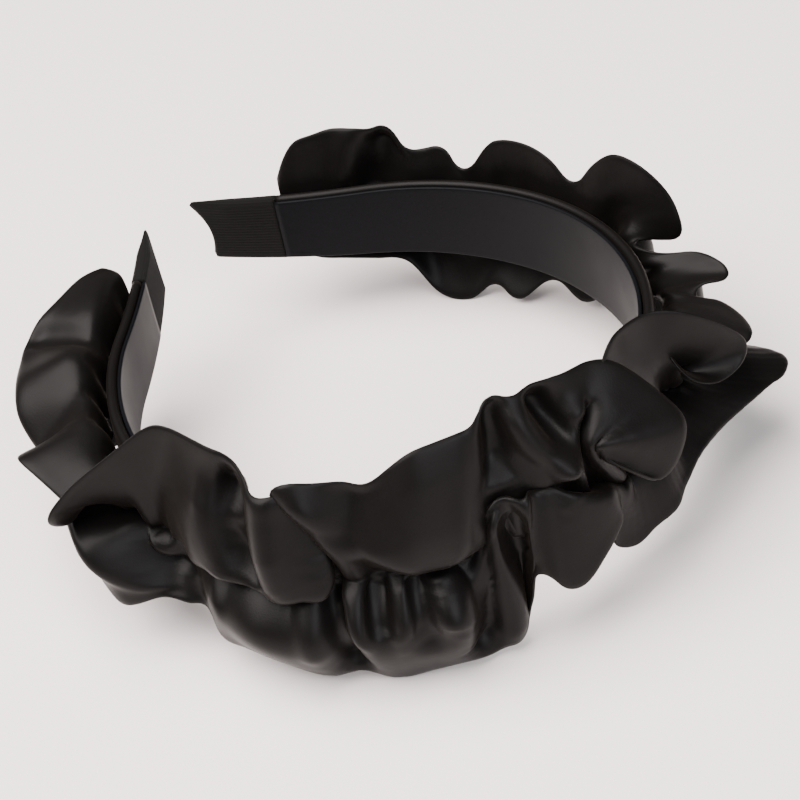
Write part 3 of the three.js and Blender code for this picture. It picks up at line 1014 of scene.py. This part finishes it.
@dataclass
class ClothRelaxer:
    """Lets a sheet find its length: each thread between grid points is pulled back to its flat
    length, soft stays across several threads keep folds round, and the hems are drawn to the
    folds' table, while the stitches stay put and the hoop and the floor hold the cloth off."""

    hoop: HoopPlan
    length: float
    stay: float = 0.35
    stay_length: float = 6.0
    round_share: float = 0.93
    bending: float = 0.02
    fullness: float = 0.15
    floor: float = 0.40
    clear_every: int = 4

    def pull(self, points: np.ndarray, free: np.ndarray, axis: int, step: int,
             rest: np.ndarray, strength: float, stay: bool = False) -> None:
        """Moves each pair of grid points a step apart towards their rest distance, in sets that
        share no point: the error times strength, shared by how free each end is.

        Args:
            points: The grid, changed in place.
            free: 0 for a pinned point, else 1, with a last axis of one.
            axis: 0 along the strip, 1 across it.
            step: How many grid steps apart the points of a pair are.
            rest: The rest distance of each pair.
            strength: The share of the error taken out.
            stay: Whether it only pushes apart.
        """
        grid, loose, wanted = (np.moveaxis(each, axis, 0) for each in (points, free, rest))
        for start in range(2 * step):
            one = slice(start, len(grid) - step, 2 * step)
            two = slice(start + step, None, 2 * step)
            gap = grid[two] - grid[one]
            length = np.sqrt(np.einsum("ijk,ijk->ij", gap, gap))[..., None]
            share = strength * (length - wanted[start::2 * step]) / np.maximum(length, 1e-6)
            if stay:
                share = np.minimum(share, 0)
            move = gap * (share / np.maximum(loose[one] + loose[two], 1e-6))
            grid[one] += loose[one] * move
            grid[two] -= loose[two] * move

    def bend(self, points: np.ndarray, free: np.ndarray) -> None:
        """Stiffness in bending: each point moves a share of the way to the mean of its neighbours
        two steps off, along the rows and across them.

        Args:
            points: The grid, changed in place.
            free: 0 for a pinned point, else 1.
        """
        for axis in (0, 1):
            rows, loose = np.moveaxis(points, axis, 0), np.moveaxis(free, axis, 0)
            mean = (rows[4:] + rows[:-4]) / 2
            rows[2:-2] += self.bending * loose[2:-2] * (mean - rows[2:-2])

    def clear(self, points: np.ndarray, along: np.ndarray, free: np.ndarray) -> np.ndarray:
        """Moves what has come through the hoop's outer face back out, and lifts what is under
        the floor.

        Args:
            points: The grid, changed in place.
            along: A guess of each point's place along the hoop.
            free: 0 for a pinned point, else 1.

        Returns:
            The better guess.
        """
        along, out, rise = self.hoop.follow(points, along)
        short = np.maximum(self.hoop.least_out(along, rise) - out, 0)
        points[..., :2] += (free[..., 0] * short)[..., None] * self.hoop.at(along)[1]
        points[..., 2] = np.maximum(points[..., 2], self.floor)
        return along

    def run(self, points: np.ndarray, aim: np.ndarray, along: np.ndarray, hold: np.ndarray,
            rounds: int, draw: tuple[float, float]) -> tuple[np.ndarray, np.ndarray]:
        """Repeats all pulls for a number of rounds, the draw to the aim fading from its first
        value to its second.

        Args:
            points: The grid at the start.
            aim: Where the folds' table has each point.
            along: Each point's place along the hoop.
            hold: How strongly the aim draws, up to 1 at the hems.
            rounds: How many rounds.
            draw: The share of the way to the aim taken each round, first and last.

        Returns:
            The grid and its places along the hoop.
        """
        points = points.copy()
        rows, columns = points.shape[:2]
        du = self.length / (rows - 1)
        drawn = np.linalg.norm(np.diff(aim, axis=0), axis=-1, keepdims=True)
        thread = drawn + self.fullness * np.maximum(du - drawn, 0)
        cross = np.linalg.norm(np.diff(aim, axis=1), axis=-1, keepdims=True)
        run = np.concatenate([np.zeros((1, columns, 1)), np.cumsum(thread, 0)])
        free = np.ones((rows, columns, 1))
        free[:, columns // 2] = 0
        reach = max(int(round(self.stay_length / du)), 2)
        stays = (run[reach:] - run[:-reach]) * self.round_share
        for turn in range(rounds):
            fade = (1 - turn / rounds) ** 2
            share = draw[1] + (draw[0] - draw[1]) * fade
            points += free * share * hold * (aim - points)
            self.bend(points, free)
            self.pull(points, free, 0, reach, stays, self.stay, True)
            self.pull(points, free, 1, 1, cross, 1.0)
            self.pull(points, free, 0, 1, thread, 1.0)
            if (turn + 1) % self.clear_every == 0 or turn == rounds - 1:
                along = self.clear(points, along, free)
        return points, along


@dataclass
class SatinRuffle:
    """A strip of doubled satin, gathered on a thread along its middle and stitched to the hoop."""

    hoop: HoopPlan
    upper: FoldTable
    lower: FoldTable
    flap: float = 30.0
    end: float = 186.16
    thread_places: int = 4001
    ease: float = 16.0
    least_fullness: float = 1.2
    gather_pitch: float = 10.5
    gather_share: float = 0.35
    gather_lift: float = 1.1
    drifts: tuple[tuple[float, float, float], ...] = ((0.30, 17.0, 0.0), (0.22, 7.3, 1.0))
    inner_hold: float = 0.7
    hold_from: float = 0.3
    ironing: int = 3
    iron_from: float = 0.4
    wall: float = 0.62
    hem_puff: float = 0.30
    hem_seam: float = 1.6
    hem_spread: float = 1.8
    hem_edge: float = 0.2
    hem_thin: float = 0.72
    hem_tip: float = 0.8
    levels: tuple[tuple[int, int, int, float, float], ...] = (
        (321, 37, 50, 0.10, 0.05),
        (641, 75, 24, 0.05, 0.04),
    )

    def thread_line(self, columns: int) -> tuple[np.ndarray, np.ndarray, float]:
        """The gathered middle. The cloth's length for each millimetre of thread is the mean speed
        of the two hems, smoothed; the gathers are a wave in and out, deep enough to take it in,
        whose pitch drifts a little.

        Args:
            columns: How many places, at even steps of the cloth.

        Returns:
            Places along the hoop, the wave's height above the hoop's face at each, and the
            strip's whole length.
        """
        along = np.linspace(-self.end, self.end, self.thread_places)
        step = along[1] - along[0]
        speed = np.zeros(len(along))
        for folds in (self.upper, self.lower):
            path = self.hoop.place(*folds.read(along)[:, 4:7].T)
            speed += np.linalg.norm(np.gradient(path, step, axis=0), axis=-1) / 2
        window = np.hanning(int(self.ease / step) | 1)
        padded = np.pad(speed, len(window) // 2, mode="edge")
        eased = np.convolve(padded, window / window.sum(), "valid")
        speed = np.maximum(eased, self.least_fullness)
        run = np.concatenate([[0], np.cumsum((speed[1:] + speed[:-1]) / 2 * step)])
        turns = along / self.gather_pitch
        for amount, pitch, start in self.drifts:
            turns = turns + amount * np.sin(along / pitch + start)
        depth = np.sqrt(2 * (speed ** 2 - 1)) * self.gather_pitch / (2 * math.pi)
        height = self.gather_share * depth * (self.gather_lift + np.sin(2 * math.pi * turns))
        even = np.linspace(0, run[-1], columns)
        return np.interp(even, run, along), np.interp(even, run, height), float(run[-1])

    def table_shape(self, columns: int, across: int) -> tuple[np.ndarray, np.ndarray]:
        """Ribs of both flaps side by side, lower hem to upper hem, kept off the hoop.

        Args:
            columns: Points along the strip.
            across: Points across it.

        Returns:
            The cloth drawn by the tables with its gathers, and each point's place along the
            hoop.
        """
        stitch, height, _ = self.thread_line(columns)
        upper, lower = (table.shape(stitch, across // 2 + 1, self.hoop.cloth_out, self.flap)
                        for table in (self.upper, self.lower))
        along, out, rise = np.moveaxis(np.concatenate([lower[:, :0:-1], upper], 1), -1, 0)
        out = np.maximum(out, self.hoop.least_out(along, rise))
        way = np.abs(np.linspace(-1, 1, across))[None]
        return self.hoop.place(along, out + height[:, None] * (1 - way) ** 2, rise), along

    def cloth(self, length: float) -> np.ndarray:
        """Relaxes the table's shape on ever finer grids: broad folds settle on the first, and the
        last only rounds them.

        Args:
            length: The strip's length.

        Returns:
            The finest grid of points.
        """
        relaxer = ClothRelaxer(self.hoop, length)
        points, along = None, None
        for columns, across, rounds, *draw in self.levels:
            gathered, places = self.table_shape(columns, across)
            if points is None:
                points, along = gathered, places
            else:
                points = resample(points, columns, across)
                along = resample(along[..., None], columns, across)[..., 0]
            points[:, across // 2] = gathered[:, across // 2]
            way = np.abs(np.linspace(-1, 1, across))
            outer = smooth((way - self.hold_from) / (1 - self.hold_from))
            hold = (self.inner_hold + (1 - self.inner_hold) * outer)[None, :, None]
            points, along = relaxer.run(points, gathered, along, hold, rounds, draw)
        return self.iron(points)

    def iron(self, points: np.ndarray) -> np.ndarray:
        """Takes out ripples finer than the satin's own stiffness would let stand: each point moves
        to a quarter of each neighbour along the strip and half itself, a few times over, less at
        the stitches.

        Args:
            points: The relaxed grid.

        Returns:
            The grid without its finest ripples.
        """
        share = smooth(np.abs(np.linspace(-1, 1, points.shape[1]))[None, :, None] / self.iron_from)
        for _ in range(self.ironing):
            mean = (points[2:] + 2 * points[1:-1] + points[:-2]) / 4
            points[1:-1] += share * (mean - points[1:-1])
        return points

    def build(self, finish: bpy.types.Material) -> bpy.types.Object:
        """Gives the cloth its wall: half a wall each way along its normal, swelling by
        exp(-((distance from the hem - seam) / spread) ** 2) over the seam inside each hem, where
        one more point rounds the fold.

        Args:
            finish: The satin.

        Returns:
            The piece.
        """
        length = self.thread_line(2)[2]
        LOG.info("the ruffle's strip is %.0f mm long", length)
        cloth = self.cloth(length)
        columns, across = cloth.shape[:2]
        over = np.gradient(cloth, axis=1)
        normal = unit(np.cross(np.gradient(cloth, axis=0), over))
        from_hem = self.flap - np.abs(np.linspace(-self.flap, self.flap, across))
        seam = np.exp(-((from_hem - self.hem_seam) / self.hem_spread) ** 2)
        half_wall = (self.wall / 2) * (1 + self.hem_puff * seam)
        half_wall *= np.where(from_hem < self.hem_edge, self.hem_thin, 1.0)
        lift = normal * half_wall[None, :, None]
        outward = unit(over)
        low_tip = cloth[:, :1] - outward[:, :1] * half_wall[0] * self.hem_tip
        high_tip = cloth[:, -1:] + outward[:, -1:] * half_wall[-1] * self.hem_tip
        rings = np.concatenate([cloth + lift, high_tip, (cloth - lift)[:, ::-1], low_tip], 1)
        count = rings.shape[1]
        i = np.arange(across - 1)
        quads, triangles = [tube_faces(columns, count, closed=False)], []
        for base, turn in ((0, 1), ((columns - 1) * count, -1)):
            face, back = base + i, base + 2 * across - i
            quads.append(np.stack([face, back, back - 1, face + 1], -1)[:, ::turn])
            hems = np.array([[across - 1, across + 1, across], [0, count - 1, count - 2]])
            triangles.append((base + hems)[:, ::turn])
        points = rings.reshape(-1, 3)
        faces = outward_faces(points, np.concatenate(quads), np.concatenate(triangles))
        piece = mesh_object("satin_ruffle", points, faces, finish)
        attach(piece, "root")
        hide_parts("ruffle")
        return piece


@dataclass(frozen=True)
class SoftLamp:
    """A square soft light that looks at the pivot, its place right, ahead and up of there."""

    name: str
    place: tuple[float, float, float]
    size: float
    power: float
    shade: str


@dataclass
class Studio:
    """A plain pale floor, soft light from the upper left, and the camera at the photograph's
    angle to the object."""

    pivot: tuple[float, float, float]
    elevation: float = 38.0
    heading: float = 31.2
    roll: float = -12.8
    distance: float = 635.0
    lens: float = 114.3
    sensor: float = 36.0
    aim_right: float = 7.1
    aim_down: float = 8.0
    floor_half: float = 1600.0
    sky_shade: str = "#f6f2f1"
    sky_strength: float = 0.29
    lamps: tuple[SoftLamp, ...] = (
        SoftLamp("key_light", (-450, -100, 1150), 1350, 72.0, "#fff8f5"),
        SoftLamp("fill_light", (500, -900, 650), 700, 12.0, "#f6f6fb"),
    )

    def axes(self) -> tuple[Vector, Vector, Vector]:
        """The camera's right, up and forward directions, rolled about forward.

        Returns:
            Three unit vectors.
        """
        turn, tip, roll = (math.radians(a) for a in (self.heading, self.elevation, self.roll))
        ahead = Vector((math.sin(turn), math.cos(turn), 0))
        level = Vector((math.cos(turn), -math.sin(turn), 0))
        forward = ahead * math.cos(tip) - Vector((0, 0, math.sin(tip)))
        above = ahead * math.sin(tip) + Vector((0, 0, math.cos(tip)))
        right = level * math.cos(roll) + above * math.sin(roll)
        up = above * math.cos(roll) - level * math.sin(roll)
        return right, up, forward

    def camera(self) -> None:
        """Places the camera so that the hoop's pivot stands where the photograph has it."""
        right, up, forward = self.axes()
        stand = Vector(self.pivot) - forward * self.distance
        target = Vector(self.pivot) + right * self.aim_right - up * self.aim_down
        look = (target - stand).normalized()
        side = look.cross(up).normalized()
        data = bpy.data.cameras.new("camera")
        data.lens = self.lens
        data.sensor_width = self.sensor
        eye = bpy.data.objects.new("camera", data)
        turned = Matrix((side, side.cross(look), -look)).transposed().to_4x4()
        eye.matrix_world = Matrix.Translation(stand * METRE) @ turned
        bpy.context.scene.collection.objects.link(eye)
        bpy.context.scene.camera = eye

    def floor(self) -> None:
        """A square board with its top at the height on which the headband lies."""
        signs = np.array([[-1, -1, 0], [1, -1, 0], [1, 1, 0], [-1, 1, 0]])
        board = mesh_object("pale_floor", self.floor_half * signs, [[0, 1, 2, 3]],
                            PaintedBoard().material())

    def light(self, lamp: SoftLamp) -> None:
        """Hangs one lamp, turned towards the pivot."""
        forward = self.axes()[2]
        ahead = Vector((forward.x, forward.y, 0)).normalized()
        level = Vector((ahead.y, -ahead.x, 0))
        right, front, up = lamp.place
        place = level * right + ahead * front + Vector((0, 0, up))
        data = bpy.data.lights.new(lamp.name, "AREA")
        data.energy = lamp.power
        data.size = lamp.size * METRE
        data.color = linear(lamp.shade)[:3]
        light = bpy.data.objects.new(lamp.name, data)
        stand = (Vector(self.pivot) + place) * METRE
        light.location = stand
        gaze = Vector(self.pivot) * METRE - stand
        light.rotation_euler = gaze.to_track_quat("-Z", "Y").to_euler()
        bpy.context.scene.collection.objects.link(light)

    def sky(self) -> None:
        """Even pale light from all round."""
        world = bpy.data.worlds.new("studio")
        world.use_nodes = True
        background = world.node_tree.nodes["Background"]
        background.inputs["Color"].default_value = linear(self.sky_shade)
        background.inputs["Strength"].default_value = self.sky_strength
        bpy.context.scene.world = world

    def build(self) -> None:
        """Sets floor, lights and camera."""
        self.floor()
        self.sky()
        for lamp in self.lamps:
            self.light(lamp)
        self.camera()


def main() -> None:
    """Builds the headband piece by piece and reports each. The hoop's centre comes from the CAD
    band's box, whose front edge is the middle of a facet at the crown."""
    low, high = (np.array(corner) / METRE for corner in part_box("band"))
    radius = HoopPlan.crown_radius
    crown_to_centre = (radius + BAND_OUTER) * math.cos(CAD_FACET / 2 / radius)
    centre = ((low[0] + high[0]) / 2, low[1] + crown_to_centre, (low[2] + high[2]) / 2)
    hoop = HoopPlan(tuple(float(c) for c in centre))
    LOG.info("hoop centre at %s mm", np.round(centre, 3))
    camera_pivot_behind = 6.0
    Studio((centre[0], centre[1] + camera_pivot_behind, centre[2])).build()
    satin = Satin().material()
    lining = Satin(name="lining_satin", shade="#050608", worn="#0a0b0e", roughness=(0.42, 0.50),
                   level=0.06, sheen=0.006, sheen_shade="#c4cad6").material()
    ribbon = Grosgrain().material()
    pieces = [
        SatinHoop(hoop).build(satin),
        SatinLining(hoop).build(lining),
        *(RibbonSleeve(hoop, side=side).build(ribbon) for side in Side),
        SatinRuffle(hoop, FoldTable(Flap.UPPER, UPPER_FOLDS, UPPER_CREASES),
                    FoldTable(Flap.LOWER, LOWER_FOLDS, LOWER_CREASES)).build(satin),
    ]
    for piece in pieces:
        LOG.info("%s: %d faces", piece.name, len(piece.data.polygons))


if __name__ == "__main__":
    logging.basicConfig(level=logging.INFO)
    main()
